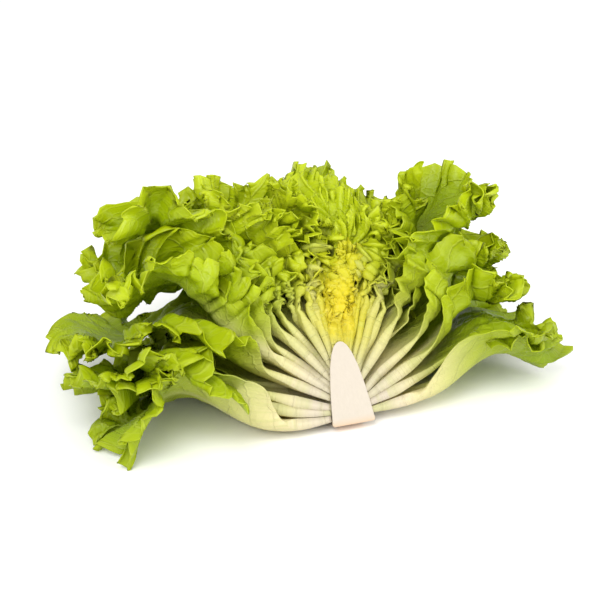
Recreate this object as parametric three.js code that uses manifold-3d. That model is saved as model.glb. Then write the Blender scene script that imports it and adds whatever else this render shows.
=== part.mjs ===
// Half a head of frilly green lettuce, cut lengthwise through the core.
// Millimetres, +Z up. +X runs along the cut face to the right, and the cut face looks towards -Y.
// It leans back on its outer leaves, and the origin is under the middle of it.
import * as THREE from 'three';
import { mergeVertices } from 'three/addons/utils/BufferGeometryUtils.js';
import Module from 'manifold-3d';

// Driving dimensions
const HEAD_RADIUS = 165; // from the butt to the tip of a full leaf
const LEAN_DEG = 32; // how far the cut face leans back from upright
const BUTT_HEIGHT = 6.3; // middle of the butt above the surface
const CORE_RADIUS = 14.5; // half the width of the cut core at the butt
const CORE_HEIGHT = 58; // butt to the growing tip
const CLEARANCE = 0.3; // between a leaf and the core
const BLADE_THICKNESS = 0.9;
const MIN_THICKNESS = 0.62; // where the leaves crowd at the core
const RIB_THICKNESS = 5; // what the rib adds where a leaf leaves the core
const RIB_HALF_WIDTH = 9;

// Leaf counts, and the cells that a leaf's sheet is split into
const INNER_LEAF_COUNT = 7;
const MIDDLE_LEAF_COUNT = 15;
const GROWN_LEAF_COUNT = INNER_LEAF_COUNT + MIDDLE_LEAF_COUNT;
const HEART_LEAF_COUNT = 6;
const CELLS = { across: 12, along: 7 };
const HEART_CELLS = { across: 8, along: 5 };

// A layer runs from 0 at the middle of the head to 1 at its outermost leaf. The heart fills the first part,
// and the inner and middle leaves follow in a spiral up to the layer where the outer leaves start.
const HEART_LAYER = 0.13;
const OUTER_LAYER = 0.8;
const LAYER_STEP = (OUTER_LAYER - HEART_LAYER) / GROWN_LEAF_COUNT;
const GOLDEN_SHARE = 0.618034;

// The outer leaves, each with a place of its own: layer, degrees round from the right, length and width,
// and how far round its blade may lap past the cut face at either end
const OUTER_LEAVES = [
  { layer: 0.82, around: 97, length: 166, width: 150 },
  { layer: 0.845, around: 166, length: 172, width: 150, leftEnd: 214 },
  { layer: 0.87, around: 20, length: 166, width: 140, rightEnd: -14 },
  { layer: 0.895, around: 128, length: 172, width: 150 },
  { layer: 0.91, around: 183, length: 174, width: 130, leftEnd: 207 },
  { layer: 0.945, around: 62, length: 160, width: 150 },
  { layer: 0.968, around: 4, length: 152, width: 130, rightEnd: -20 },
  { layer: 0.98, around: 110, length: 160, width: 150 },
  { layer: 1.0, around: 175, length: 166, width: 110, leftEnd: 197 },
];

// Degrees that a leaf stands off the head's axis, for layers 0, 1/4, 1/2, 3/4 and 1: where it leaves the
// core, half way up and at its tip. On the left the outer leaves arch over to the surface, on the right
// they stand off more stiffly, and at the back they lie flat.
const LEFT_SWEEP = { root: [0, 16, 38, 62, 92], mid: [0, 17, 37, 56, 58], tip: [0, 36, 68, 108, 160] };
const RIGHT_SWEEP = { root: [0, 16, 38, 62, 90], mid: [0, 18, 40, 59, 72], tip: [0, 28, 52, 80, 128] };
const BACK_SWEEP = { root: [0, 12, 27, 44, 62], mid: [0, 12, 25, 40, 58], tip: [0, 24, 42, 58, 62] };
const FRONT_DROP = 0.5; // share by which a blade hangs lower where it laps in front of the cut face

// The whole head is crumpled in long waves, which fade out towards the core
const CRUMPLE = 9;
const CRUMPLE_LENGTH = 96;
const CRUMPLE_STARTS = 45;
const CRUMPLE_FULL = 150;

const { lerp, clamp, smoothstep, degToRad: rad } = THREE.MathUtils;
const SIDEWAYS = new THREE.Vector3(1, 0, 0);
const BEHIND = new THREE.Vector3(0, Math.cos(rad(LEAN_DEG)), -Math.sin(rad(LEAN_DEG)));
const AXIS = new THREE.Vector3(0, Math.sin(rad(LEAN_DEG)), Math.cos(rad(LEAN_DEG)));
const BUTT = new THREE.Vector3(0, 0, BUTT_HEIGHT);

// A repeatable draw between 0 and 1 for each number
function draw(number) {
  const value = Math.sin(number * 12.9898 + 78.233) * 43758.5453;
  return value - Math.floor(value);
}

function atLayer(keys, layer) {
  const place = clamp(layer, 0, 1.1) * (keys.length - 1);
  const first = Math.min(Math.floor(place), keys.length - 2);
  return lerp(keys[first], keys[first + 1], place - first);
}

function sweepOf(chart, layer, share) {
  const root = atLayer(chart.root, layer);
  const mid = atLayer(chart.mid, layer);
  const tip = atLayer(chart.tip, layer);
  return root + (mid - root) * smoothstep(share, 0, 0.45) + (tip - mid) * smoothstep(share, 0.45, 1.05);
}

// The direction of a layer's leaves off the axis, at a share of their length and a way round the head
function sweep(layer, share, around) {
  const back = clamp(Math.sin(around), 0, 1) ** 2;
  const front = clamp(-Math.sin(around), 0, 1);
  const leftness = smoothstep(-Math.cos(around), -0.5, 0.5);
  const side = lerp(sweepOf(RIGHT_SWEEP, layer, share), sweepOf(LEFT_SWEEP, layer, share), leftness);
  return rad(lerp(side * (1 + FRONT_DROP * front), sweepOf(BACK_SWEEP, layer, share), back));
}

// Where a layer's leaves grow from the core: lower and further out for the outer leaves
const rootRadius = (layer) => 2.5 + (CORE_RADIUS - 2.5) * Math.max(layer, 0) ** 0.7;
const rootHeight = (layer) => 52 - 47 * layer;

// Follows a layer out from the core: how far off the axis it gets, and how far up
function profile(layer, reach, around) {
  const steps = 24;
  let off = rootRadius(layer);
  let up = rootHeight(layer);
  for (let step = 0; step < steps; step += 1) {
    const share = ((step + 0.5) / steps) * (reach / HEAD_RADIUS);
    const angle = sweep(layer, share, around);
    off += (Math.sin(angle) * reach) / steps;
    up += (Math.cos(angle) * reach) / steps;
  }
  return { off, up };
}

// A place in the head, from its layer, its reach along the leaf and its way round. The crumpling is three
// shears in turn, which never fold space, so no two leaves can cross by it.
function headPoint(layer, reach, around) {
  const { off, up } = profile(layer, reach, around);
  let x = off * Math.cos(around);
  let n = off * Math.sin(around);
  let a = up;
  const turn = (2 * Math.PI) / CRUMPLE_LENGTH;
  const depth = CRUMPLE * smoothstep(Math.hypot(x, n, a), CRUMPLE_STARTS, CRUMPLE_FULL);
  x += depth * Math.sin(turn * (0.9 * a + 0.6 * n) + 1);
  a += depth * Math.sin(turn * (x - 0.5 * n) + 2);
  n += depth * Math.sin(turn * (0.8 * x + 0.7 * a) + 4);
  return BUTT.clone().addScaledVector(SIDEWAYS, x).addScaledVector(BEHIND, n).addScaledVector(AXIS, a);
}

function softLeast(a, b, blend) {
  const share = clamp(0.5 + (0.5 * (b - a)) / blend, 0, 1);
  return lerp(b, a, share) - blend * share * (1 - share);
}

// One spot of a leaf laid flat: u runs from root to tip and v from edge to edge. Near the core the sheet
// ends on the cut face, and further out its own toothed edge laps over it.
function leafSpot(leaf, u, v) {
  const reach = leaf.length * u;
  const halfWidth = lerp(leaf.stalk, leaf.width / 2, smoothstep(u, 0.04, 0.6)) * (1 - 0.16 * smoothstep(u, 0.6, 1));
  const lap = smoothstep(reach, 55, 110);
  const toRightEnd = leaf.around - rad(leaf.rightEnd) * lap;
  const toLeftEnd = rad(180) + rad(leaf.leftEnd - 180) * lap - leaf.around;
  const acrossAt = (off) => {
    const right = softLeast(halfWidth, off * toRightEnd, 6);
    const left = softLeast(halfWidth, off * toLeftEnd, 6);
    return lerp(-right, left, (v + 1) / 2);
  };
  const full = acrossAt(profile(leaf.layer, reach, leaf.around).off) / halfWidth;
  const rim = Math.max(smoothstep(u, 0.85, 1), smoothstep(u, 0.4, 0.7) * smoothstep(Math.abs(v), 0.8, 1));
  const tooth = 1 + 0.02 * rim * Math.sin(31 * v + 9 * u + leaf.phase);
  const along = reach * (1 - 0.22 * u * full ** 2) * tooth;
  const { off } = profile(leaf.layer, along, leaf.around);
  return { off, across: acrossAt(off), along };
}

// Ruffles that run out from the middle of the blade and grow to its edge, from -1 to 1
function ruffle(leaf, u, v, { across, along }) {
  const turn = Math.atan2(across, along - 0.3 * leaf.length);
  const bend = turn + 0.25 * Math.sin(2 * turn + leaf.phase);
  const coarse = Math.sin(leaf.folds * bend + leaf.phase);
  const fine = Math.sin(2.3 * leaf.folds * bend + 2 * leaf.phase);
  const edge = 1 - (1 - Math.abs(v) ** 2.5) * (1 - u ** 3);
  return (0.6 * coarse + 0.4 * fine) * edge * smoothstep(u, 0.2, 0.6);
}

// Where the middle of the blade lies. The ruffles stay within the room that the leaf has between its
// neighbours, less at its sides, where the next leaf overlaps it.
function bladeMiddle(leaf, u, v, spot) {
  const wave = ruffle(leaf, u, v, spot);
  const tipRoom = wave < 0 ? 1 + 1.2 * smoothstep(u, 0.8, 1) : 1;
  const sideRoom = lerp(1, 0.5, smoothstep(Math.abs(v), 0.5, 0.9));
  const shift = wave * leaf.room * Math.max(0, tipRoom * sideRoom - 0.3);
  return headPoint(leaf.layer + shift, spot.along, leaf.around + spot.across / spot.off);
}

// Half the thickness there, less where the neighbours leave less room along the blade's normal
function bladeHalf(leaf, u, spot, normal) {
  const around = leaf.around + spot.across / spot.off;
  const step = headPoint(leaf.layer + LAYER_STEP, spot.along, around);
  const room = Math.abs(step.sub(headPoint(leaf.layer, spot.along, around)).dot(normal));
  const ribHalfWidth = Math.min(RIB_HALF_WIDTH, 1 + 0.4 * spot.off);
  const rib = Math.exp(-((spot.across / ribHalfWidth) ** 2)) * (1 - u) ** 1.3;
  const most = leaf.fused ? 1 : room * lerp(0.25, 0.45, smoothstep(spot.off, 10, 30));
  return clamp((BLADE_THICKNESS + RIB_THICKNESS * rib) / 2, MIN_THICKNESS / 2, Math.max(most, MIN_THICKNESS / 2));
}

const wasm = await Module();
wasm.setup();

function toManifold(geometry) {
  const bare = geometry.clone();
  bare.deleteAttribute('normal');
  bare.deleteAttribute('uv');
  const merged = mergeVertices(bare, 1e-4);
  const vertProperties = new Float32Array(merged.attributes.position.array);
  const triVerts = new Uint32Array(merged.index.array);
  return new wasm.Manifold(new wasm.Mesh({ numProp: 3, vertProperties, triVerts }));
}

function toGeometry(solid) {
  const { vertProperties, triVerts } = solid.getMesh();
  const geometry = new THREE.BufferGeometry();
  geometry.setAttribute('position', new THREE.Float32BufferAttribute(vertProperties, 3));
  geometry.setIndex(Array.from(triVerts));
  geometry.computeVertexNormals();
  return geometry;
}

function largestBody(solid) {
  return solid.decompose().sort((a, b) => b.volume() - a.volume())[0];
}

// The corners of a plane's rim in order, as the numbers that PlaneGeometry gives them
function rimOf({ across, along }) {
  const row = across + 1;
  const rim = [];
  for (let i = 0; i < across; i += 1) rim.push(i);
  for (let i = 0; i < along; i += 1) rim.push(i * row + across);
  for (let i = across; i > 0; i -= 1) rim.push(along * row + i);
  for (let i = along; i > 0; i -= 1) rim.push(i * row);
  return rim;
}

// A leaf is two copies of one plane, split alike, joined round the rim and moved corner by corner
function leafSheet(leaf, cells) {
  const plane = new THREE.PlaneGeometry(2, 1, cells.across, cells.along);
  const corners = plane.attributes.position;
  const count = corners.count;
  const places = Array.from({ length: count }, (_, i) => {
    const [u, v] = [corners.getY(i) + 0.5, corners.getX(i)];
    return { u, v, spot: leafSpot(leaf, u, v) };
  });
  places.forEach(({ u, v, spot }, i) => corners.setXYZ(i, ...bladeMiddle(leaf, u, v, spot)));
  plane.computeVertexNormals();
  const positions = [];
  for (const face of [-1, 1]) {
    places.forEach(({ u, spot }, i) => {
      const middle = new THREE.Vector3().fromBufferAttribute(corners, i);
      const normal = new THREE.Vector3().fromBufferAttribute(plane.attributes.normal, i);
      positions.push(...middle.addScaledVector(normal, face * bladeHalf(leaf, u, spot, normal)));
    });
  }
  const index = [];
  for (let i = 0; i < plane.index.count; i += 3) {
    const [a, b, c] = [0, 1, 2].map((corner) => plane.index.getX(i + corner));
    index.push(a, c, b, a + count, b + count, c + count);
  }
  const rim = rimOf(cells);
  rim.forEach((a, i) => {
    const b = rim[(i + 1) % rim.length];
    index.push(a, b + count, b, a, a + count, b + count);
  });
  const sheet = new THREE.BufferGeometry();
  sheet.setAttribute('position', new THREE.Float32BufferAttribute(positions, 3));
  sheet.setIndex(index);
  return toManifold(sheet);
}

// Turns a shape made round +Y from the butt upwards onto the head's own axis
function onAxis(geometry) {
  return geometry.rotateX(Math.PI / 2 - rad(LEAN_DEG)).translate(BUTT.x, BUTT.y, BUTT.z);
}

// The core widens to its butt and keeps just inside the line that the leaves grow from
function coreSolid(grow) {
  const side = [0.85, 0.6, 0.35, 0.12].map((layer) => [rootRadius(layer) - 0.5, rootHeight(layer)]);
  const outline = [[CORE_RADIUS - 1.5, 0], [CORE_RADIUS, 1.5], ...side].map(([radius, height]) => [
    radius + grow,
    height === 0 ? -grow : height,
  ]);
  const points = [[0, -grow], ...outline, [0, CORE_HEIGHT + grow]];
  const lathe = new THREE.LatheGeometry(points.map(([r, h]) => new THREE.Vector2(r, h)), 14);
  return toManifold(onAxis(lathe));
}

// The space behind the cut face, and the space above the surface
const SPACE = 600;
const BEHIND_CUT = toManifold(
  new THREE.BoxGeometry(SPACE, SPACE, SPACE)
    .translate(0, SPACE / 2, 0)
    .rotateX(-rad(LEAN_DEG))
    .translate(BUTT.x, BUTT.y, BUTT.z),
);
const ABOVE = toManifold(new THREE.BoxGeometry(SPACE, SPACE, SPACE).translate(0, 0, SPACE / 2));
const AROUND_CORE = coreSolid(CLEARANCE);

function leafSolid(leaf) {
  return largestBody(leafSheet(leaf, CELLS).intersect(ABOVE).subtract(AROUND_CORE));
}

// A leaf that would touch one placed before it ruffles less and lies a little further out
const TOUCH_VOLUME = 0.004;
function clearLeaf(leaf, placed) {
  let solid = leafSolid(leaf);
  for (let round = 0; round < 18; round += 1) {
    if (!placed.some((other) => other.intersect(solid).volume() > TOUCH_VOLUME)) break;
    leaf.room *= 0.85;
    leaf.layer += 0.002;
    solid = leafSolid(leaf);
  }
  return solid;
}

function grownLeaf(number) {
  const share = (number + 0.5) / GROWN_LEAF_COUNT;
  const layer = lerp(HEART_LAYER, OUTER_LAYER, share);
  const grown = lerp(0.6, 1.05, smoothstep(share, -0.1, 0.7));
  const length = HEAD_RADIUS * grown * lerp(0.92, 1.06, draw(number + 1));
  const lap = smoothstep(layer, 0.25, 0.6);
  return {
    layer,
    around: rad(lerp(-6, 186, (number * GOLDEN_SHARE + 0.1) % 1)),
    length,
    width: length * lerp(0.8, 1, draw(number + 41)),
    stalk: lerp(6, 11, share),
    room: LAYER_STEP * lerp(0.5, 0.95, smoothstep(layer, 0.15, 0.5)),
    phase: 2 * Math.PI * draw(number + 81),
    folds: 4 + Math.floor(3 * draw(number + 121)),
    rightEnd: -3 - lap * lerp(2, 15, draw(number + 161)),
    leftEnd: 183 + lap * lerp(6, 24, draw(number + 201)),
  };
}

function outerLeaf(given, number) {
  return {
    rightEnd: -8,
    leftEnd: 190,
    stalk: 12,
    room: 0.022,
    phase: 2 * Math.PI * draw(number + 301),
    folds: 5,
    ...given,
    around: rad(given.around),
  };
}

// The small crumpled leaves of the heart
function heartLeaf(number) {
  const share = number / (HEART_LEAF_COUNT - 1);
  return {
    layer: lerp(0.01, 0.06, share),
    around: rad(lerp(20, 160, (number * GOLDEN_SHARE + 0.2) % 1)),
    length: lerp(40, 74, share) * lerp(0.9, 1.1, draw(number + 401)),
    width: lerp(40, 64, share),
    stalk: 5,
    room: 0.02,
    phase: 2 * Math.PI * draw(number + 441),
    folds: 5,
    rightEnd: -6,
    leftEnd: 186,
    fused: true,
  };
}

// They are grown together round a slim bud on the tip of the core
function heartSolid() {
  const outline = [[0, 0], [2.5, 4], [4.5, 24], [3.5, 40], [0, 52]].map(([r, h]) => new THREE.Vector2(r, h));
  const bud = new THREE.LatheGeometry(outline, 10).translate(0, CORE_HEIGHT - 8, 0);
  let solid = toManifold(onAxis(bud)).intersect(BEHIND_CUT);
  for (let number = 0; number < HEART_LEAF_COUNT; number += 1) {
    solid = solid.add(leafSheet(heartLeaf(number), HEART_CELLS));
  }
  return largestBody(solid.subtract(AROUND_CORE));
}

const group = new THREE.Group();

function addMesh(name, solid, color, roughness) {
  const material = new THREE.MeshStandardMaterial({ color, roughness, metalness: 0 });
  const mesh = new THREE.Mesh(toGeometry(solid), material);
  mesh.name = name;
  group.add(mesh);
}

function addLeaves(name, leaves, placed, color) {
  leaves.forEach((leaf, number) => {
    const solid = clearLeaf(leaf, placed);
    placed.push(solid);
    addMesh(`${name}_${String(number + 1).padStart(2, '0')}`, solid, color, 0.45);
  });
}

const grownLeaves = Array.from({ length: GROWN_LEAF_COUNT }, (_, number) => grownLeaf(number));
const heart = heartSolid();
const placed = [heart];
addMesh('core', largestBody(coreSolid(0).intersect(BEHIND_CUT).intersect(ABOVE)), 0xf2ecd0, 0.5);
addMesh('heart', heart, 0xe3d648, 0.5);
addLeaves('inner_leaf', grownLeaves.slice(0, INNER_LEAF_COUNT), placed, 0xb9cf5a);
addLeaves('middle_leaf', grownLeaves.slice(INNER_LEAF_COUNT), placed, 0x8fb640);
addLeaves('outer_leaf', OUTER_LEAVES.map(outerLeaf), placed, 0x7ba832);

// The origin goes under the middle of the head
const box = new THREE.Box3().setFromObject(group, true);
group.position.set(-(box.min.x + box.max.x) / 2, -(box.min.y + box.max.y) / 2, -box.min.z);

export default group;
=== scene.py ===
# Half a head of frilly green lettuce: every leaf gets its frills, blisters, veins and cut rib.
import math

import bmesh
import bpy
import numpy as np
from mathutils import Matrix, Vector


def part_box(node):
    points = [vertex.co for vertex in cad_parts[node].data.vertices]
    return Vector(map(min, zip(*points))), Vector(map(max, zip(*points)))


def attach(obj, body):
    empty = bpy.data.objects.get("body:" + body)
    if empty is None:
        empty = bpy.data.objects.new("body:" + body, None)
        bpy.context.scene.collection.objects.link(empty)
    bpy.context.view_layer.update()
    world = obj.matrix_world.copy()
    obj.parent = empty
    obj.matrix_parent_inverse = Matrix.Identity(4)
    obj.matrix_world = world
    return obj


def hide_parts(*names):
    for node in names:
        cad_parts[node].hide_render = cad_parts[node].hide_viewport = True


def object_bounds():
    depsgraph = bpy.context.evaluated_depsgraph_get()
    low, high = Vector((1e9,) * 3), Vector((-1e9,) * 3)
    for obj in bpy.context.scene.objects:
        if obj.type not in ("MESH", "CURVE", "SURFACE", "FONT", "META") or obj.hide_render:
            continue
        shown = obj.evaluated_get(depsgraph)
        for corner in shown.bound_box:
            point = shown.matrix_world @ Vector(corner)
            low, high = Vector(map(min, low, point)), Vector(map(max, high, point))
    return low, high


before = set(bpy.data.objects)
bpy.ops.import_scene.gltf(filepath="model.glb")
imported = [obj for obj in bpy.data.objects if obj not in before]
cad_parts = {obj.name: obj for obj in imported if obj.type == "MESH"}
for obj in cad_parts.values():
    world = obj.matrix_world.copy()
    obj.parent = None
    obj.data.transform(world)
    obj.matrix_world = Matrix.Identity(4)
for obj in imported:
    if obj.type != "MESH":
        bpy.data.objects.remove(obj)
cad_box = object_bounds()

MM = 0.001

# Driving dimensions, in millimetres, as the head grows
HEAD_RADIUS = 165.0
LEAN = math.radians(32)
BUTT_HEIGHT = 6.3
CORE_RADIUS = 14.5
CORE_MIDDLE = 22.0
GROWING_TIP_RADIUS = 2.5
TOP_ROOT_HEIGHT = 52.0
ROOT_FALL = 47.0
BLADE_THICKNESS = 0.6
RIB_THICKNESS = 5.5
RIB_HALF_WIDTH = 9.0
ROOT_FLESH = 5.5
THICKEST = 8.0

INNER_LEAF_COUNT = 7
MIDDLE_LEAF_COUNT = 15
GROWN_LEAF_COUNT = INNER_LEAF_COUNT + MIDDLE_LEAF_COUNT
HEART_LEAF_COUNT = 14
HEART_LAYER = 0.13
OUTER_LAYER = 0.8
LAYER_STEP = (OUTER_LAYER - HEART_LAYER) / GROWN_LEAF_COUNT
GOLDEN_SHARE = 0.618034

# What every leaf has unless its kind or its place says otherwise: the grid of its mesh; how large its frills
# are, and its blisters and crinkles in mm; the radians that its margin curls; how much of the room up to the
# next layer its flesh may fill; how much of the heart's yellow it takes; how closely its front lap hugs the
# head; how far from its root the blade starts to lap past the cut; and how far out its white reaches
COMMON_LEAF = dict(
    columns=112,
    rows=96,
    folds=5,
    frill=1.0,
    blister=1.0,
    crinkle=1.2,
    curl=1.2,
    fill=0.98,
    yellow=0.0,
    hug=0.0,
    lap_starts=55,
    pale_reach=1.0,
)

# The outer leaves, each with a place of its own: layer, degrees round from the right, length and width,
# and how far round its blade may lap past the cut face at either end
OUTER_LEAVES = [
    dict(layer=0.82, around=97, length=160, width=150),
    dict(
        layer=0.845, around=166, length=172, width=150, left_end=214,
        hug=0.2, frill_starts=76,
    ),
    dict(layer=0.87, around=20, length=162, width=140, right_end=-14),
    dict(layer=0.895, around=128, length=172, width=150),
    dict(layer=0.91, around=178, length=145, width=130, left_end=191),
    dict(layer=0.945, around=62, length=142, width=150),
    dict(
        layer=0.968, around=4, length=145, width=130, right_end=-24,
        hug=1.2, lap_starts=20, pale_reach=1.2, frill_starts=84,
    ),
    dict(layer=0.98, around=110, length=160, width=150),
    dict(
        layer=1.0, around=175, length=161, width=114, left_end=202,
        hug=1.2, lap_starts=18, pale_reach=1.35, frill_starts=98,
    ),
]

# Degrees that a leaf stands off the head's axis, for layers 0, 1/4, 1/2, 3/4 and 1: at its root, half way
# up and at its tip, on the left, on the right and at the back of the head
LEFT_SWEEP = dict(root=[0, 16, 38, 62, 92], mid=[0, 17, 37, 56, 58], tip=[0, 36, 68, 108, 160])
RIGHT_SWEEP = dict(root=[0, 16, 38, 62, 90], mid=[0, 18, 40, 59, 72], tip=[0, 28, 52, 80, 128])
BACK_SWEEP = dict(root=[0, 12, 27, 44, 62], mid=[0, 12, 25, 40, 58], tip=[0, 24, 42, 58, 62])
FRONT_DROP = 0.5

CRUMPLE = 9.0
CRUMPLE_LENGTH = 96.0
CRUMPLE_STARTS = 45.0
CRUMPLE_FULL = 150.0

# The growing tip leans this much to the right for its height above this one. The yellow heart is this high
# up, and its yellow fades over these distances off its axis and along it.
TIP_LEAN = 0.2
LEAN_STARTS = 40.0
HEART_HEIGHT = 72.0
YELLOW_WIDTH = 24.0
YELLOW_LENGTH = 34.0

# Distances from the middle of the core: the leaves are white up to the first and not past the second, and
# their green deepens from the first to the second
WHITE_FADES = (26, 84)
GREEN_DEEPENS = (45, 125)

# A lap opens over this length, the leaf edges blend into the cut over this, and the frills grow over this
LAP_LENGTH = 50.0
EDGE_BLEND = 6.0
FRILL_RAMP = 35.0

# Where a tip would pass the head's box by more than the room, it bends back within the soft room
CAD_LOW, CAD_HIGH = (np.array(list(corner)) / MM for corner in cad_box)
REACH_ROOM = 1.0
SOFT_ROOM = 6.0

# How softly the blades end at the cut plane, and how far in from a blade's edge the knife has bent it
CUT_SOFTNESS = 0.9
CUT_REACH = 12.0

core_low, core_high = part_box("core")
BUTT = np.array([(core_low.x + core_high.x) / 2, core_low.y, BUTT_HEIGHT * MM]) / MM
SIDEWAYS = np.array([1.0, 0.0, 0.0])
BEHIND = np.array([0.0, math.cos(LEAN), -math.sin(LEAN)])
AXIS = np.array([0.0, math.sin(LEAN), math.cos(LEAN)])


def mix(a, b, share):
    return a + (b - a) * share


def smoothstep(x, low, high):
    share = np.clip((x - low) / (high - low), 0.0, 1.0)
    return share * share * (3 - 2 * share)


def draw(number):
    """A repeatable draw between 0 and 1 for each number."""
    value = math.sin(number * 12.9898 + 78.233) * 43758.5453
    return value - math.floor(value)


# The head: layers, sweeps and crumpling


def at_layer(keys, layer):
    keys = np.array(keys, float)
    place = np.clip(layer, 0.0, 1.1) * (len(keys) - 1)
    first = np.minimum(np.floor(place).astype(int), len(keys) - 2)
    return keys[first] + (keys[first + 1] - keys[first]) * (place - first)


def sweep_of(chart, layer, share):
    root, mid, tip = (at_layer(chart[part], layer) for part in ("root", "mid", "tip"))
    return root + (mid - root) * smoothstep(share, 0, 0.45) + (tip - mid) * smoothstep(share, 0.45, 1.05)


def sweep(layer, share, around, hug):
    """How far a leaf stands off the axis. In front it drops open, or rises where it hugs the head."""
    back = np.clip(np.sin(around), 0, 1) ** 2
    front = np.clip(-np.sin(around), 0, 1)
    front = front * smoothstep(front, -0.02, 0.2)
    leftness = smoothstep(-np.cos(around), -0.5, 0.5)
    side = mix(sweep_of(RIGHT_SWEEP, layer, share), sweep_of(LEFT_SWEEP, layer, share), leftness)
    drop = FRONT_DROP * (1 + front) - hug * (1 - smoothstep(share, 0.3, 0.6))
    return np.radians(mix(side * (1 + drop * front), sweep_of(BACK_SWEEP, layer, share), back))


def root_radius(layer):
    return GROWING_TIP_RADIUS + (CORE_RADIUS - GROWING_TIP_RADIUS) * np.maximum(layer, 0) ** 0.7


def root_height(layer):
    return TOP_ROOT_HEIGHT - ROOT_FALL * layer


def profile(layer, reach, around, hug=0.0):
    """Follows a layer out from the core: how far off the axis it gets, and how far up."""
    steps = 24
    off = root_radius(layer) + 0 * reach
    up = root_height(layer) + 0 * reach
    for step in range(steps):
        angle = sweep(layer, (step + 0.5) / steps * reach / HEAD_RADIUS, around, hug)
        off = off + np.sin(angle) * reach / steps
        up = up + np.cos(angle) * reach / steps
    return off, up


def head_point(layer, reach, around, hug=0.0):
    off, up = profile(layer, reach, around, hug)
    x = off * np.cos(around)
    n = off * np.sin(around)
    a = up
    turn = 2 * math.pi / CRUMPLE_LENGTH
    x = x + TIP_LEAN * np.maximum(a - LEAN_STARTS, 0) * (1 - smoothstep(layer, 0.1, 0.5))
    depth = CRUMPLE * smoothstep(np.sqrt(x * x + n * n + a * a), CRUMPLE_STARTS, CRUMPLE_FULL)
    x = x + depth * np.sin(turn * (0.9 * a + 0.6 * n) + 1)
    a = a + depth * np.sin(turn * (x - 0.5 * n) + 2)
    n = n + depth * np.sin(turn * (0.8 * x + 0.7 * a) + 4)
    return BUTT + x[..., None] * SIDEWAYS + n[..., None] * BEHIND + a[..., None] * AXIS


def soft_least(a, b, blend):
    share = np.clip(0.5 + 0.5 * (b - a) / blend, 0, 1)
    return mix(b, a, share) - blend * share * (1 - share)


# One leaf: its outline, its middle surface, its frills


def leaf_spot(leaf, u, v):
    """One spot of a leaf laid flat: u runs from root to tip and v from edge to edge."""
    reach = leaf["length"] * u
    narrowing = 1 - 0.16 * smoothstep(u, 0.6, 1)
    half_width = mix(leaf["stalk"], leaf["width"] / 2, smoothstep(u, 0.04, 0.6)) * narrowing
    lap = smoothstep(reach, leaf["lap_starts"], leaf["lap_starts"] + LAP_LENGTH)
    to_right_end = leaf["around"] - math.radians(leaf["right_end"]) * lap
    to_left_end = math.pi + math.radians(leaf["left_end"] - 180) * lap - leaf["around"]

    def across_at(off):
        right = soft_least(half_width, off * to_right_end, EDGE_BLEND)
        left = soft_least(half_width, off * to_left_end, EDGE_BLEND)
        return mix(-right, left, (v + 1) / 2)

    full = across_at(profile(leaf["layer"], reach, leaf["around"])[0]) / half_width
    along = reach * (1 - 0.22 * u * full**2)
    off = profile(leaf["layer"], along, leaf["around"])[0]
    return dict(off=off, across=across_at(off), along=along)


def ruffle(leaf, u, v, spot):
    turn = np.arctan2(spot["across"], spot["along"] - 0.3 * leaf["length"])
    bend = turn + 0.25 * np.sin(2 * turn + leaf["phase"])
    coarse = np.sin(leaf["folds"] * bend + leaf["phase"])
    fine = np.sin(2.3 * leaf["folds"] * bend + 2 * leaf["phase"])
    edge = 1 - (1 - np.abs(v) ** 2.5) * (1 - u**3)
    return (0.6 * coarse + 0.4 * fine) * edge * smoothstep(u, 0.2, 0.6)


def blade_middle(leaf, u, v, spot):
    wave = ruffle(leaf, u, v, spot)
    tip_room = np.where(wave < 0, 1 + 1.2 * smoothstep(u, 0.8, 1), 1)
    side_room = mix(1, 0.5, smoothstep(np.abs(v), 0.5, 0.9))
    shift = wave * leaf["room"] * np.maximum(0, tip_room * side_room - 0.3)
    around = leaf["around"] + spot["across"] / spot["off"]
    return head_point(leaf["layer"] + shift, spot["along"], around, leaf["hug"])


def unit(vectors):
    return vectors / np.maximum(np.linalg.norm(vectors, axis=-1, keepdims=True), 1e-9)


def surface_axes(points):
    """Unit directions along the leaf and across it, and the normal that looks out of the head."""
    along = unit(np.gradient(points, axis=0))
    across = unit(np.gradient(points, axis=1))
    normal = unit(np.cross(along, across))
    return along, across, normal


def wander(x, number, count=5):
    """A smooth random line through x, from about -1 to 1."""
    total = 0
    for k in range(count):
        pace = 0.6 + 1.1 * k + draw(number * 7 + k)
        total = total + np.sin(pace * x + 6.28 * draw(number * 13 + 3 * k + 1)) / (1 + 0.35 * k)
    return total / 2.2


def lattice(cell, number):
    """A repeatable random value for each whole-number corner."""
    value = np.sin(cell[..., 0] * 127.1 + cell[..., 1] * 311.7 + number * 74.7) * 43758.5453
    return value - np.floor(value)


def patches(x, y, size, number):
    """Smooth random patches over a leaf laid flat, from -1 to 1, each about size mm wide."""
    place = np.stack([x / size, y / size], -1)
    cell = np.floor(place)
    share = place - cell
    share = share * share * (3 - 2 * share)
    low = mix(lattice(cell, number), lattice(cell + [1, 0], number), share[..., 0])
    high = mix(lattice(cell + [0, 1], number), lattice(cell + [1, 1], number), share[..., 0])
    return 2 * mix(low, high, share[..., 1]) - 1


# Frills from the widest to the finest: how long a wave is at the rim, its height, how far in it reaches. The
# margin curls over the depth below, and the tip's rim rounds into the sides' rims over the blend.
FRILLS = [(48.0, 5.5, 34.0), (20.0, 6.6, 22.0), (8.6, 3.8, 11.0)]
CURL_DEPTH = 27.0
RIM_BLEND = 6.0

# Spacing and half width of the side veins, and how wide a mesh of the fine vein net, a patch of colour and a
# rib's fibre are. The net and the fibres are a few times coarser than real ones, so that they show.
VEIN_SPACING = 15.0
SIDE_VEIN_HALF_WIDTH = 1.1
NET_MESH = 4.2
COLOUR_PATCH = 28.0
RIB_FIBRE = 2.2
PITH_FIBRE = 1.8


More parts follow.
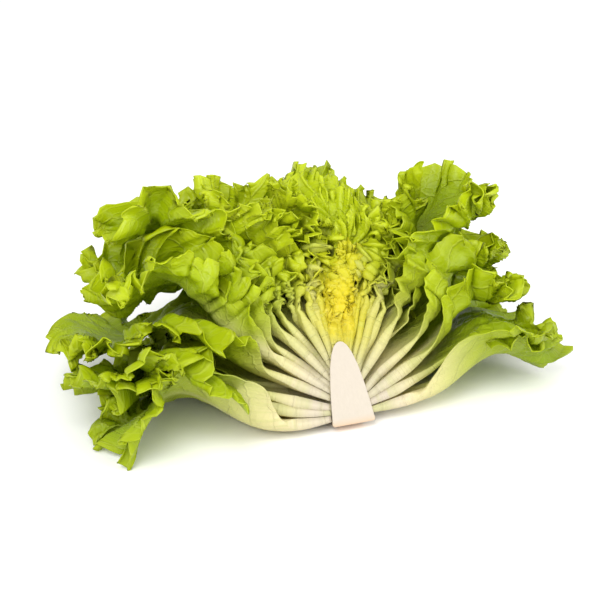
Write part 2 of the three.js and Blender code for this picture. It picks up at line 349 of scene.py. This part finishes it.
def rim_place(spot, v):
    """How far round the rim the nearest rim is, how far inside it a spot is, and which way the rim lies."""
    x, y = spot["across"], spot["along"]

    def travelled(x, y):
        return np.concatenate([[0], np.cumsum(np.hypot(np.diff(x), np.diff(y)))])

    left, right = travelled(x[:, 0], y[:, 0]), travelled(x[:, -1], y[:, -1])
    tip = left[-1] + travelled(x[-1], y[-1])
    by_side = np.where(v < 0, left[:, None], (tip[-1] + right[-1] - right)[:, None])
    to_side = (1 - np.abs(v)) * (x[:, -1:] - x[:, :1]) / 2
    to_tip = y[-1:] - y
    side_share = np.exp(-to_side / RIM_BLEND)
    tip_share = np.exp(-np.clip(to_tip, 0, 200) / RIM_BLEND)
    inside = np.maximum(-RIM_BLEND * np.log(side_share + tip_share + 1e-20), 0)
    side_share = side_share / (side_share + tip_share + 1e-20)
    place = by_side * side_share + tip[None, :] * (1 - side_share)
    steady = 1 - side_share * (1 - smoothstep(np.abs(v), 0.05, 0.45))
    outward = np.stack([np.sign(v) * side_share, 1 - side_share], -1)
    outward = outward / np.maximum(np.linalg.norm(outward, axis=-1, keepdims=True), 1e-9)
    return place, inside, steady, outward


def frilled(leaf, points, v, spot):
    """Moves the leaf's middle surface into its curled margin, frills, blisters and toothed rim."""
    number = leaf["number"]
    place, inside, steady, outward = rim_place(spot, v)
    free = smoothstep(spot["along"], leaf["frill_starts"], leaf["frill_starts"] + FRILL_RAMP) * steady

    # The margin bends along an arc
    up, side, normal = surface_axes(points)
    radial = side * outward[..., :1] + up * outward[..., 1:]
    bent = np.clip(1 - inside / CURL_DEPTH, 0, 1)
    angle = leaf["curl"] * (0.7 + 0.45 * wander(place / 36, number + 91)) * free
    angle = angle * mix(1, 0.55, outward[..., 1])
    angle = np.where(np.abs(angle) < 0.05, 0.05, angle)
    lift = CURL_DEPTH / angle * (1 - np.cos(angle * bent))
    draw_in = CURL_DEPTH / angle * np.sin(angle * bent) - CURL_DEPTH * bent
    points = points + normal * lift[..., None] + radial * draw_in[..., None]

    # Frills run round the rim, and lean over their own feet
    up, side, normal = surface_axes(points)
    radial = side * outward[..., :1] + up * outward[..., 1:]
    tangent = side * outward[..., 1:] - up * outward[..., :1]
    out = 0
    slide = 0
    for k, (wave_length, height, depth) in enumerate(FRILLS):
        phase = 2 * math.pi * place / (wave_length * leaf["frill"])
        phase = phase + 1.5 * wander(place / (14 - 4 * k), number + 11 * k) + 6.28 * draw(number + 31 * k)
        strength = 0.8 + 0.4 * wander(place / (20 - 6 * k), number + 17 * k + 5)
        fade = np.exp(-((inside / depth) ** 1.4))
        wave = height * leaf["frill"] * strength * fade * free
        out = out + wave * np.sin(phase)
        slide = slide + 0.42 * wave * np.sin(2 * phase)
    # The blade swells between its side veins, crinkles, and ends in lobes and teeth
    x, y = spot["across"], spot["along"]
    veins = np.sin(math.pi * (y - 0.75 * np.abs(x) + 4 * patches(x, y, 30, number)) / VEIN_SPACING)
    blister = smoothstep(np.abs(x), 3, 16) * smoothstep(y, 45, 85)
    out = out + leaf["blister"] * blister * (1.3 * np.abs(veins) - 0.8 + 0.9 * patches(x, y, 9, number + 3))
    blade = smoothstep(np.abs(x), 4, 12)
    crinkle = patches(x, y, 13, number + 9) + 0.7 * patches(x, y, 6, number + 10)
    starts = leaf["frill_starts"]
    out = out + leaf["crinkle"] * smoothstep(y, starts - 4, starts + 36) * mix(0.4, 1, blade) * crinkle
    lobes = 3.4 * wander(place / 9, number + 71)
    lobes = lobes + 1.7 * np.sin(place * 0.55 + 2 * wander(place / 7, number + 7))
    teeth = 2.6 * np.abs(np.sin(place * 0.42 + 1.5 * wander(place / 6, number + 8)))
    reach = (lobes * np.exp(-inside / 7) + teeth * np.exp(-inside / 3)) * free
    moved = points + normal * out[..., None] + tangent * slide[..., None] + radial * reach[..., None]
    return moved, inside


def pressed_flat(points, thickness):
    """Nothing goes below the surface that the head lies on."""
    points[..., 2] = np.maximum(points[..., 2], 0.5 * np.minimum(thickness, 3))
    return points


def within_reach(points):
    """The tips bend back softly where the frills would carry them further than the head reaches."""
    for side, limit in ((-1, CAD_LOW - REACH_ROOM), (1, CAD_HIGH + REACH_ROOM)):
        over = np.maximum(side * (points - limit), 0)
        points = points - side * (over - SOFT_ROOM * np.tanh(over / SOFT_ROOM))
    return points


def behind_cut(leaf, points, spot):
    """Near the core the knife has left every leaf's edge just behind the plane of the cut."""
    near = 1 - smoothstep(spot["along"], leaf["lap_starts"] - 14, leaf["lap_starts"] + 12)
    least = -0.5 + 1.4 * (1 - smoothstep(spot["along"], 4, 20))

    def short(points):
        return CUT_SOFTNESS * np.logaddexp(0, (least - (points - BUTT) @ BEHIND) / CUT_SOFTNESS)

    x = spot["across"]
    for edge, inward in ((0, x - x[:, :1]), (-1, x[:, -1:] - x)):
        shift = short(points)[:, [edge]] * near * np.exp(-inward / CUT_REACH)
        points = points + shift[..., None] * BEHIND
    return points + (short(points) * near)[..., None] * BEHIND


def blade_thickness(leaf, u, spot, points, inside):
    """Fleshy where the knife cut it, near the core and along the rib, and thin at a margin that grew free."""
    around = leaf["around"] + spot["across"] / spot["off"]
    here = head_point(leaf["layer"] + 0 * u, spot["along"], around, leaf["hug"])
    there = head_point(leaf["layer"] + LAYER_STEP + 0 * u, spot["along"], around, leaf["hug"])
    normal = surface_axes(points)[2]
    room = np.abs(((there - here) * normal).sum(-1))
    rib_half_width = np.minimum(RIB_HALF_WIDTH, 1 + 0.4 * spot["off"])
    rib = np.exp(-((spot["across"] / rib_half_width) ** 2)) * (1 - u) ** 1.3
    fleshy = ROOT_FLESH * (1 - smoothstep(spot["along"], 12, 90))
    packed = leaf["fill"] + 1.8 * (1 - smoothstep(spot["along"], 14, 75))
    most = np.maximum(packed * room, BLADE_THICKNESS)
    uncut = smoothstep(spot["along"], leaf["lap_starts"], leaf["lap_starts"] + 24)
    flesh = (fleshy + RIB_THICKNESS * rib) * (1 - 0.9 * uncut * np.exp(-inside / 5))
    return np.minimum(BLADE_THICKNESS + flesh, most)


def graded(count, power):
    """Even steps from -1 to 1, drawn together towards both ends."""
    even = np.linspace(-1, 1, count + 1)
    return np.sign(even) * (1 - (1 - np.abs(even)) ** power)


def leaf_mesh(leaf, bm):
    """Adds one leaf's sheet to a bmesh, as a grid whose corners are then moved to their places."""
    columns, rows = leaf["columns"], leaf["rows"]
    layers = tint_layers(bm)
    grid = bmesh.ops.create_grid(bm, x_segments=columns, y_segments=rows, size=1, calc_uvs=True)
    corners = sorted(grid["verts"], key=lambda vert: (round(vert.co.y, 5), round(vert.co.x, 5)))
    v_line = graded(columns, 1.35)
    u_line = 1 - (1 - np.linspace(0, 1, rows + 1)) ** 1.25
    u, v = np.meshgrid(u_line, v_line, indexing="ij")
    spot = leaf_spot(leaf, u, v)
    base = blade_middle(leaf, u, v, spot)
    points, inside = frilled(leaf, base, v, spot)
    thickness = blade_thickness(leaf, u, spot, base, inside)
    points = pressed_flat(within_reach(behind_cut(leaf, points, spot)), thickness)
    core_distance = np.linalg.norm(points - BUTT - CORE_MIDDLE * AXIS, axis=-1)
    pale = paleness(leaf, u, spot, core_distance)
    # The margin share: the colour is painted lighter towards the toothed margin, painted light standing for
    # light shining through the thin edge from behind
    rim = np.exp(-inside / 12) * smoothstep(spot["along"], 50, 90)
    to_heart = points - BUTT - HEART_HEIGHT * AXIS - TIP_LEAN * (HEART_HEIGHT - LEAN_STARTS) * SIDEWAYS
    up_heart = to_heart @ AXIS
    off_heart = np.linalg.norm(to_heart - up_heart[..., None] * AXIS, axis=-1)
    yellow = leaf["yellow"] * np.exp(-((off_heart / YELLOW_WIDTH) ** 2) - (up_heart / YELLOW_LENGTH) ** 2)
    pale = pale * (1 - 0.92 * np.clip(1.3 * yellow, 0, 1))
    green = smoothstep(core_distance / leaf["pale_reach"], *GREEN_DEEPENS)
    for vert, place, thick, flat_x, flat_y, p, y, r, g in zip(
        corners,
        points.reshape(-1, 3),
        thickness.ravel(),
        spot["across"].ravel(),
        spot["along"].ravel(),
        pale.ravel(),
        yellow.ravel(),
        rim.ravel(),
        green.ravel(),
    ):
        vert.co = place * MM
        vert[layers["deform"]][0] = thick / THICKEST
        vert[layers["tint"]] = (p, y, r, g)
        vert[layers["flat"]] = (flat_x * MM, flat_y * MM, leaf["number"])


def tint_layers(bm):
    return dict(
        deform=bm.verts.layers.deform.verify(),
        tint=bm.verts.layers.float_color.get("tint") or bm.verts.layers.float_color.new("tint"),
        flat=bm.verts.layers.float_vector.get("flat") or bm.verts.layers.float_vector.new("flat"),
    )


def paleness(leaf, u, spot, core_distance):
    """White at the core, and along the rib further out."""
    near = 1 - smoothstep(core_distance / leaf["pale_reach"], *WHITE_FADES)
    ribbed = np.exp(-((spot["across"] / (2.5 + 9 * (1 - u))) ** 2)) * (1 - smoothstep(u, 0.3, 0.9))
    return np.clip(np.maximum(near, 0.8 * ribbed), 0, 1)


def leaf_piece(name, leaves, material, node):
    bm = bmesh.new()
    for leaf in leaves:
        leaf_mesh(leaf, bm)
    mesh = bpy.data.meshes.new(name)
    bm.to_mesh(mesh)
    bm.free()
    mesh.shade_smooth()
    mesh.materials.append(material)
    piece = bpy.data.objects.new(name, mesh)
    bpy.context.scene.collection.objects.link(piece)
    group = piece.vertex_groups.new(name="thickness")
    shell = piece.modifiers.new("blade thickness", "SOLIDIFY")
    shell.thickness = THICKEST * MM
    shell.offset = 0
    shell.vertex_group = group.name
    shell.use_rim = True
    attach(piece, "root")
    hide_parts(node)


# Materials

LIGHT_BLADE = "#c2cc3c"
VEIN = "#cfda5c"
CUT_ROOT, RIB, FAR_RIB, RIB_STREAK = "#dcd0ba", "#efe2b6", "#c0ca50", "#c6cb78"
PITH_DARK, PITH_LIGHT, BUTT_SKIN = "#b9afa0", "#c2b8aa", "#c8a47c"


def linear(hex_colour):
    """An sRGB hex value as linear red, green, blue and alpha."""
    parts = [int(hex_colour[i : i + 2], 16) / 255 for i in (1, 3, 5)]
    return [p / 12.92 if p <= 0.04045 else ((p + 0.055) / 1.055) ** 2.4 for p in parts] + [1.0]


def add_node(tree, kind, settings=None, inputs=None):
    """Adds a node. A setting is an attribute, and an input is a value or another node's output."""
    node = tree.nodes.new(kind)
    for name, value in (settings or {}).items():
        setattr(node, name, value)
    for name, value in (inputs or {}).items():
        if isinstance(value, bpy.types.NodeSocket):
            tree.links.new(value, node.inputs[name])
        else:
            node.inputs[name].default_value = value
    return node


def new_material(name):
    material = bpy.data.materials.new(name)
    material.use_nodes = True
    material.node_tree.nodes.clear()
    return material, material.node_tree


def leaf_material(name, blade, margin, yellowed):
    """Fresh leaf lamina, satin with a waxy gleam. It turns from a cream rib with faint fibres to a green
    blade with pale veins, painted lighter at its toothed margin as painted backlight, and light comes through
    it."""
    material, tree = new_material(name)
    tint = add_node(tree, "ShaderNodeAttribute", {"attribute_name": "tint"})
    flat = add_node(tree, "ShaderNodeAttribute", {"attribute_name": "flat"})
    parts = add_node(tree, "ShaderNodeSeparateColor", None, {"Color": tint.outputs["Color"]})
    pale, yellow, rim = parts.outputs["Red"], parts.outputs["Green"], parts.outputs["Blue"]
    mottle = add_node(
        tree, "ShaderNodeTexNoise", {"noise_dimensions": "3D"},
        {"Vector": flat.outputs["Vector"], "Scale": 1 / (COLOUR_PATCH * MM), "Detail": 4.0, "Roughness": 0.6},
    )
    net = add_node(
        tree, "ShaderNodeTexVoronoi", {"feature": "DISTANCE_TO_EDGE"},
        {"Vector": flat.outputs["Vector"], "Scale": 1 / (NET_MESH * MM), "Randomness": 0.9},
    )
    net_line = add_node(
        tree, "ShaderNodeMapRange", {"interpolation_type": "SMOOTHSTEP"},
        {"Value": net.outputs["Distance"], "From Min": 0.0, "From Max": 0.14, "To Min": 0.35, "To Max": 0.0},
    )
    spot = add_node(tree, "ShaderNodeSeparateXYZ", None, {"Vector": flat.outputs["Vector"]})
    off_rib = add_node(tree, "ShaderNodeMath", {"operation": "ABSOLUTE"}, {0: spot.outputs["X"]})
    climb = add_node(
        tree, "ShaderNodeMath", {"operation": "MULTIPLY_ADD"},
        {0: off_rib.outputs["Value"], 1: -0.75, 2: spot.outputs["Y"]},
    )
    drift = add_node(
        tree, "ShaderNodeMath", {"operation": "MULTIPLY_ADD"},
        {0: mottle.outputs["Fac"], 1: 0.02, 2: climb.outputs["Value"]},
    )
    to_vein = add_node(
        tree, "ShaderNodeMath", {"operation": "PINGPONG"},
        {0: drift.outputs["Value"], 1: VEIN_SPACING / 2 * MM},
    )
    side_vein = add_node(
        tree, "ShaderNodeMapRange", {"interpolation_type": "SMOOTHSTEP"},
        {
            "Value": to_vein.outputs["Value"],
            "From Min": 0.0,
            "From Max": SIDE_VEIN_HALF_WIDTH * MM,
            "To Min": 1.0,
            "To Max": 0.0,
        },
    )
    vein_line = add_node(
        tree, "ShaderNodeMath", {"operation": "MAXIMUM"},
        {0: net_line.outputs["Result"], 1: side_vein.outputs["Result"]},
    )
    blade_green = add_node(
        tree, "ShaderNodeMix", {"data_type": "RGBA"},
        {"Factor": mottle.outputs["Fac"], "A": linear(blade[0]), "B": linear(blade[1])},
    )
    deep = add_node(
        tree, "ShaderNodeMix", {"data_type": "RGBA"},
        {"Factor": tint.outputs["Alpha"], "A": linear(LIGHT_BLADE), "B": blade_green.outputs["Result"]},
    )
    # Painted backlight: the blade colour turns to the lighter margin colour near the toothed edge
    margin_painted_backlight = add_node(
        tree, "ShaderNodeMix", {"data_type": "RGBA"},
        {"Factor": rim, "A": deep.outputs["Result"], "B": linear(margin)},
    )
    golden = add_node(
        tree, "ShaderNodeMix", {"data_type": "RGBA"},
        {"Factor": yellow, "A": margin_painted_backlight.outputs["Result"], "B": linear(yellowed)},
    )
    line_share = add_node(
        tree, "ShaderNodeMath", {"operation": "MULTIPLY"}, {0: vein_line.outputs["Value"], 1: 0.3}
    )
    veined = add_node(
        tree, "ShaderNodeMix", {"data_type": "RGBA"},
        {"Factor": line_share.outputs["Value"], "A": golden.outputs["Result"], "B": linear(VEIN)},
    )
    root_share = add_node(
        tree, "ShaderNodeMapRange", {"interpolation_type": "SMOOTHSTEP"},
        {"Value": spot.outputs["Y"], "From Min": 0.004, "From Max": 0.04, "To Min": 1.0, "To Max": 0.0},
    )
    root_colour = add_node(
        tree, "ShaderNodeMix", {"data_type": "RGBA"},
        {"Factor": root_share.outputs["Result"], "A": linear(RIB), "B": linear(CUT_ROOT)},
    )
    rib_colour = add_node(
        tree, "ShaderNodeMix", {"data_type": "RGBA"},
        {"Factor": tint.outputs["Alpha"], "A": root_colour.outputs["Result"], "B": linear(FAR_RIB)},
    )
    whitened = add_node(
        tree, "ShaderNodeMix", {"data_type": "RGBA"},
        {"Factor": pale, "A": veined.outputs["Result"], "B": rib_colour.outputs["Result"]},
    )
    stretched = add_node(
        tree, "ShaderNodeMapping", None, {"Vector": flat.outputs["Vector"], "Scale": (1.0, 0.05, 1.0)}
    )
    fibres = add_node(
        tree, "ShaderNodeTexNoise", None,
        {
            "Vector": stretched.outputs["Vector"],
            "Scale": 1 / (RIB_FIBRE * MM),
            "Detail": 2.0,
            "Roughness": 0.5,
        },
    )
    fibre_line = add_node(
        tree, "ShaderNodeMapRange", None,
        {"Value": fibres.outputs["Fac"], "From Min": 0.45, "From Max": 0.7, "To Min": 0.0, "To Max": 0.55},
    )
    fibre_share = add_node(
        tree, "ShaderNodeMath", {"operation": "MULTIPLY"}, {0: fibre_line.outputs["Result"], 1: pale}
    )
    streaked = add_node(
        tree, "ShaderNodeMix", {"data_type": "RGBA"},
        {"Factor": fibre_share.outputs["Value"], "A": whitened.outputs["Result"], "B": linear(RIB_STREAK)},
    )
    relief = add_node(
        tree, "ShaderNodeMix", {"data_type": "FLOAT"},
        {"Factor": 0.5, "A": fibres.outputs["Fac"], "B": vein_line.outputs["Value"]},
    )
    bump = add_node(
        tree, "ShaderNodeBump", None,
        {"Strength": 0.8, "Distance": 0.0012, "Height": relief.outputs["Result"]},
    )
    gloss = add_node(
        tree, "ShaderNodeBsdfPrincipled", None,
        {
            "Base Color": streaked.outputs["Result"],
            "Roughness": 0.34,
            "Specular IOR Level": 0.3,
            "Normal": bump.outputs["Normal"],
        },
    )
    through = add_node(
        tree, "ShaderNodeBsdfTranslucent", None,
        {"Color": streaked.outputs["Result"], "Normal": bump.outputs["Normal"]},
    )
    both = add_node(tree, "ShaderNodeMixShader", None, {0: 0.3, 1: gloss.outputs[0], 2: through.outputs[0]})
    add_node(tree, "ShaderNodeOutputMaterial", None, {"Surface": both.outputs[0]})
    return material


def core_material():
    """Cut lettuce stem: cream pith, moist and faintly streaked along the knife's cut, peach at the butt."""
    material, tree = new_material("cut stem pith")
    place = add_node(tree, "ShaderNodeTexCoord")
    stretch = add_node(
        tree, "ShaderNodeMapping", None,
        {"Vector": place.outputs["Object"], "Rotation": (-LEAN, 0, 0), "Scale": (1, 1, 0.12)},
    )
    fibres = add_node(
        tree, "ShaderNodeTexNoise", None,
        {
            "Vector": stretch.outputs["Vector"],
            "Scale": 1 / (PITH_FIBRE * MM),
            "Detail": 3.0,
            "Roughness": 0.55,
        },
    )
    cream = add_node(
        tree, "ShaderNodeMix", {"data_type": "RGBA"},
        {"Factor": fibres.outputs["Fac"], "A": linear(PITH_DARK), "B": linear(PITH_LIGHT)},
    )
    height = add_node(tree, "ShaderNodeSeparateXYZ", None, {"Vector": place.outputs["Object"]})
    butt_share = add_node(
        tree, "ShaderNodeMapRange", {"interpolation_type": "SMOOTHSTEP"},
        {"Value": height.outputs["Z"], "From Min": 0.003, "From Max": 0.011, "To Min": 1.0, "To Max": 0.0},
    )
    butted = add_node(
        tree, "ShaderNodeMix", {"data_type": "RGBA"},
        {"Factor": butt_share.outputs["Result"], "A": cream.outputs["Result"], "B": linear(BUTT_SKIN)},
    )
    bump = add_node(
        tree, "ShaderNodeBump", None, {"Strength": 0.3, "Distance": 0.0003, "Height": fibres.outputs["Fac"]}
    )
    gloss = add_node(
        tree, "ShaderNodeBsdfPrincipled", None,
        {
            "Base Color": butted.outputs["Result"],
            "Roughness": 0.35,
            "IOR": 1.4,
            "Normal": bump.outputs["Normal"],
        },
    )
    add_node(tree, "ShaderNodeOutputMaterial", None, {"Surface": gloss.outputs[0]})
    return material


def plain_material(name, colour, roughness):
    """Paper of one colour, matte all over."""
    material, tree = new_material(name)
    paint = add_node(
        tree, "ShaderNodeBsdfPrincipled", None, {"Base Color": linear(colour), "Roughness": roughness}
    )
    add_node(tree, "ShaderNodeOutputMaterial", None, {"Surface": paint.outputs[0]})
    return material


# The pieces


def reach_share(layer, around):
    """The head is fuller on its left and at the back than on its right, where the leaves are shorter."""
    degrees = math.degrees(around)
    shoulder = math.exp(-(((degrees - 138) / 30) ** 2)) * mix(0.4, 1, float(smoothstep(layer, 0.15, 0.3)))
    left = float(smoothstep(degrees, 150, 180) * smoothstep(layer, 0.5, 0.62))
    right = math.exp(-(((degrees - 12) / 34) ** 2)) * mix(1, 0.25, float(smoothstep(layer, 0.45, 0.55)))
    raised = math.exp(-(((degrees - 158) / 22) ** 2)) * math.exp(-(((layer - 0.42) / 0.12) ** 2))
    return 1 + 0.18 * shoulder + 0.1 * left + 0.08 * raised - 0.12 * right


def grown_leaf(number):
    share = (number + 0.5) / GROWN_LEAF_COUNT
    layer = mix(HEART_LAYER, OUTER_LAYER, share)
    length = HEAD_RADIUS * mix(0.6, 1.05, float(smoothstep(share, -0.1, 0.7)))
    length = length * mix(0.92, 1.06, draw(number + 1))
    lap = float(smoothstep(layer, 0.2, 0.5))
    around = math.radians(mix(-6, 186, (number * GOLDEN_SHARE + 0.1) % 1))
    return dict(
        COMMON_LEAF,
        number=number + 1,
        layer=layer,
        around=around,
        length=length * reach_share(layer, around),
        width=length * mix(0.8, 1, draw(number + 41)),
        stalk=mix(6, 11, share),
        room=LAYER_STEP * mix(0.5, 0.95, float(smoothstep(layer, 0.15, 0.5))),
        phase=2 * math.pi * draw(number + 81),
        folds=4 + math.floor(3 * draw(number + 121)),
        right_end=-4 - lap * mix(5, 22, draw(number + 161)),
        left_end=184 + lap * mix(8, 30, draw(number + 201)),
        frill=mix(0.6, 0.95, float(smoothstep(share, 0, 0.6))),
        frill_starts=mix(24, 64, share),
        crinkle=mix(1.8, 1.3, share),
        curl=mix(0.8, 1.9, share) * (1 if draw(number + 501) > 0.2 else -0.6),
        yellow=1.0,
        hug=1.1,
        lap_starts=mix(26, 42, draw(number + 541)),
    )


def outer_leaf(given, number):
    leaf = dict(
        COMMON_LEAF,
        number=number + 61,
        right_end=-8,
        left_end=190,
        stalk=12,
        room=0.022,
        phase=2 * math.pi * draw(number + 301),
        frill_starts=66,
    )
    leaf.update(given)
    leaf["around"] = math.radians(leaf["around"])
    return leaf


def heart_leaf(number):
    share = number / (HEART_LEAF_COUNT - 1)
    return dict(
        COMMON_LEAF,
        number=number + 91,
        layer=mix(0.02, 0.135, share),
        around=math.radians(mix(5, 175, (number * GOLDEN_SHARE + 0.2) % 1)),
        length=mix(34, 66, share) * mix(0.9, 1.15, draw(number + 401)),
        width=mix(36, 60, share),
        stalk=5,
        room=0.02,
        phase=2 * math.pi * draw(number + 441),
        right_end=-6,
        left_end=186,
        columns=64,
        rows=40,
        frill=0.5,
        frill_starts=10,
        blister=0.6,
        crinkle=1.8,
        curl=0.9,
        fill=3.0,
        yellow=1.0,
    )


def build_core():
    foot = [(0, 0), (CORE_RADIUS - 1.5, 0), (CORE_RADIUS - 0.4, 0.5), (CORE_RADIUS, 1.6)]
    shoulder = [(13.2, 14), (11.6, 26), (9.4, 38), (7.0, 46), (4.6, 51), (2.2, 53.4), (0, 54)]
    outline = foot + shoulder
    bm = bmesh.new()
    verts = [bm.verts.new((radius, 0, height)) for radius, height in outline]
    edges = [bm.edges.new(pair) for pair in zip(verts, verts[1:])]
    bmesh.ops.spin(
        bm, geom=verts + edges, axis=(0, 0, 1), cent=(0, 0, 0), angle=2 * math.pi, steps=72, use_merge=True
    )
    bmesh.ops.remove_doubles(bm, verts=bm.verts, dist=0.01)
    frame_turn = Matrix((SIDEWAYS, BEHIND, AXIS)).transposed().to_4x4()
    bmesh.ops.transform(bm, matrix=Matrix.Translation(Vector(BUTT)) @ frame_turn, verts=bm.verts)
    for place, normal in ((BUTT, -BEHIND), ((0, 0, 0), (0, 0, -1))):
        cut = bmesh.ops.bisect_plane(
            bm, geom=bm.verts[:] + bm.edges[:] + bm.faces[:],
            plane_co=place, plane_no=normal, clear_outer=True,
        )
        rim = [edge for edge in cut["geom_cut"] if isinstance(edge, bmesh.types.BMEdge)]
        bmesh.ops.contextual_create(bm, geom=rim)
    bmesh.ops.recalc_face_normals(bm, faces=bm.faces)
    bmesh.ops.scale(bm, vec=(MM, MM, MM), verts=bm.verts)
    mesh = bpy.data.meshes.new("cut_core")
    bm.to_mesh(mesh)
    bm.free()
    mesh.materials.append(core_material())
    piece = bpy.data.objects.new("cut_core", mesh)
    bpy.context.scene.collection.objects.link(piece)
    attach(piece, "root")
    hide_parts("core")


# The third colour of each finish is the lighter margin colour, painted backlight at the toothed edge
heart_finish = leaf_material("blanched heart leaf", ("#d6d21c", "#ccca14"), "#dad630", "#e6d200")
inner_finish = leaf_material("inner leaf lamina", ("#c6d614", "#b4c808"), "#c8d61c", "#dccc08")
middle_finish = leaf_material("middle leaf lamina", ("#a4ba06", "#8ca600"), "#bccc10", "#dccc08")
outer_finish = leaf_material("outer leaf lamina", ("#92ac04", "#7a9800"), "#aebf0e", "#dccc08")

build_core()
leaf_piece("heart_leaves", [heart_leaf(k) for k in range(HEART_LEAF_COUNT)], heart_finish, "heart")
for number in range(GROWN_LEAF_COUNT):
    inner = number < INNER_LEAF_COUNT
    kind = "inner_leaf" if inner else "middle_leaf"
    place = number + 1 if inner else number + 1 - INNER_LEAF_COUNT
    finish = inner_finish if inner else middle_finish
    leaf_piece(f"frilled_{kind}_{place:02d}", [grown_leaf(number)], finish, f"{kind}_{place:02d}")
for number, given in enumerate(OUTER_LEAVES):
    leaf_piece(
        f"frilled_outer_leaf_{number + 1:02d}",
        [outer_leaf(given, number)],
        outer_finish,
        f"outer_leaf_{number + 1:02d}",
    )

# Floor, light and camera


def build_stage():
    bm = bmesh.new()
    bmesh.ops.create_grid(bm, x_segments=1, y_segments=1, size=4)
    mesh = bpy.data.meshes.new("floor")
    bm.to_mesh(mesh)
    bm.free()
    mesh.materials.append(plain_material("matte white sweep", "#fdfdfc", 0.9))
    floor = bpy.data.objects.new("floor", mesh)
    bpy.context.scene.collection.objects.link(floor)


def soft_light(name, place, size, power):
    light = bpy.data.lights.new(name, "AREA")
    light.size = size
    light.energy = power
    lamp = bpy.data.objects.new(name, light)
    lamp.location = place
    lamp.rotation_euler = (Vector((0, 0, 0.06)) - Vector(place)).to_track_quat("-Z", "Y").to_euler()
    bpy.context.scene.collection.objects.link(lamp)


def build_world():
    world = bpy.data.worlds.new("white studio")
    bpy.context.scene.world = world
    world.use_nodes = True
    world.node_tree.nodes["Background"].inputs["Color"].default_value = (1, 1, 1, 1)
    world.node_tree.nodes["Background"].inputs["Strength"].default_value = 0.9


# The camera stands in front, a little to the left, and looks down at the head. In the picture the middle
# of the butt is at these pixels, of 600 by 600, and a pixel is this many metres there.
VIEW_AZIMUTH = math.radians(-20)
VIEW_ELEVATION = math.radians(25)
VIEW_DISTANCE = 1.0
PIXEL = 0.64 * MM
PICTURE_SIDE = 600
CORE_PIXEL = (355, 405)
CORE_POINT_HEIGHT = 20 * MM
SENSOR = 36.0


def build_camera():
    azimuth, elevation = VIEW_AZIMUTH, VIEW_ELEVATION
    back = Vector(
        (
            math.sin(azimuth) * math.cos(elevation),
            -math.cos(azimuth) * math.cos(elevation),
            math.sin(elevation),
        )
    )
    right = Vector((math.cos(azimuth), math.sin(azimuth), 0))
    up = back.cross(right)
    core_point = Vector((BUTT[0] * MM, BUTT[1] * MM, CORE_POINT_HEIGHT))
    middle = PICTURE_SIDE / 2
    target = core_point - right * (CORE_PIXEL[0] - middle) * PIXEL + up * (CORE_PIXEL[1] - middle) * PIXEL
    data = bpy.data.cameras.new("camera")
    data.sensor_width = SENSOR
    data.lens = SENSOR * VIEW_DISTANCE / (PIXEL * PICTURE_SIDE)
    camera = bpy.data.objects.new("camera", data)
    camera.location = target + back * VIEW_DISTANCE
    camera.rotation_euler = back.to_track_quat("Z", "Y").to_euler()
    bpy.context.scene.collection.objects.link(camera)
    bpy.context.scene.camera = camera


build_stage()
build_world()
soft_light("key", (-0.7, -0.9, 1.2), 0.9, 18)
soft_light("fill", (0.9, -0.8, 0.7), 1.0, 9)
build_camera()
bpy.context.scene.view_settings.view_transform = "Standard"
